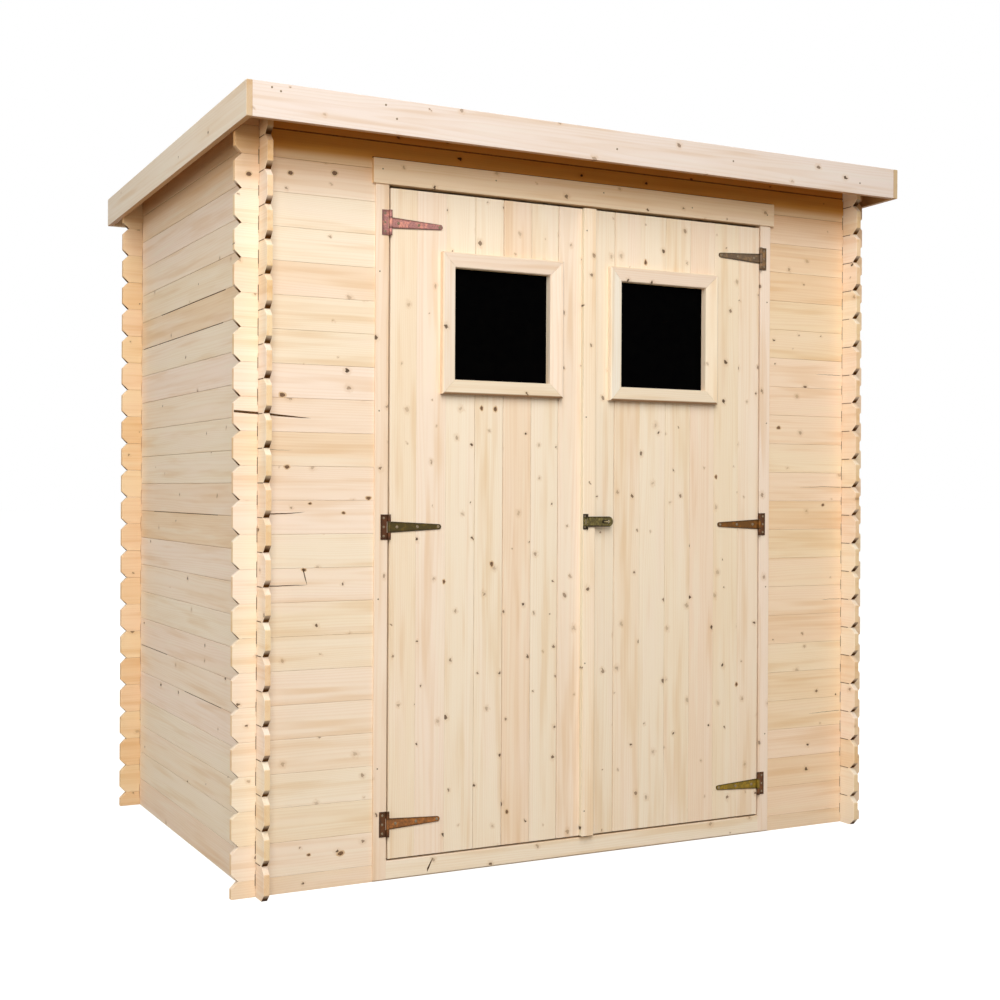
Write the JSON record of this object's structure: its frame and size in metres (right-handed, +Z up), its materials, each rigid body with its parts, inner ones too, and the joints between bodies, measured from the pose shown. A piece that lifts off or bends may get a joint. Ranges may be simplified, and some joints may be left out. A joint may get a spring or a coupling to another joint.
{
  "type": "wooden garden shed",
  "caption": "Small garden shed of crossed log boards with a low pent roof and a pair of outward board doors with square windows, for storing tools",
  "frame": {"origin": "ground level, under the middle of the roof's outline", "axes": "+X to the right along the front, +Y to the back, +Z up; the doors face -Y"},
  "size_m": [2.104, 1.476, 2.0418],
  "materials": {
    "log_board": "planed bare spruce",
    "trim_board": "planed bare spruce",
    "door_board": "planed bare spruce",
    "rough_board": "sawn bare spruce",
    "roof_felt": "sanded bitumen felt",
    "window_glass": "clear pane",
    "hinge_metal": "yellow zinc plating"
  },
  "bodies": {
    "shed": {"back_fascia": "trim_board", "back_wall": "log_board", "door_head": "trim_board", "floor_bearers": "rough_board", "floor_boards": "rough_board", "front_fascia": "trim_board", "front_sill_log": "log_board", "front_wall_header": "log_board", "front_wall_left": "log_board", "front_wall_right": "log_board", "left_fascia": "trim_board", "left_hinge_plates": "hinge_metal", "left_jamb": "trim_board", "left_wall": "log_board", "right_fascia": "trim_board", "right_hinge_plates": "hinge_metal", "right_jamb": "trim_board", "right_wall": "log_board", "roof_boards": "rough_board", "roof_felt": "roof_felt", "roof_purlins": "rough_board", "threshold": "trim_board"},
    "left_door": {"hasp_plate": "hinge_metal", "left_door_leaf": "door_board", "left_door_ledges": "door_board", "left_hinge_straps": "hinge_metal", "left_window_frame": "trim_board", "left_window_pane": "window_glass", "meeting_strip": "trim_board"},
    "right_door": {"hasp_staple": "hinge_metal", "right_door_leaf": "door_board", "right_door_ledges": "door_board", "right_hinge_straps": "hinge_metal", "right_window_frame": "trim_board", "right_window_pane": "window_glass"},
    "hasp": {"hasp_strap": "hinge_metal"}
  },
  "joints": [
    {"name": "left_door_swing", "type": "hinge", "parent": "shed", "child": "left_door", "pos_m": [-0.6095, -0.6115, 0.9414], "axis": [0, 0, -1], "range_deg": [0, 160]},
    {"name": "right_door_swing", "type": "hinge", "parent": "shed", "child": "right_door", "pos_m": [0.6235, -0.6115, 0.9414], "axis": [0, 0, 1], "range_deg": [0, 160]},
    {"name": "hasp_swing", "type": "hinge", "parent": "left_door", "child": "hasp", "pos_m": [-0.001, -0.6255, 0.9528], "axis": [0, 0, -1], "range_deg": [0, 170]}
  ]
}
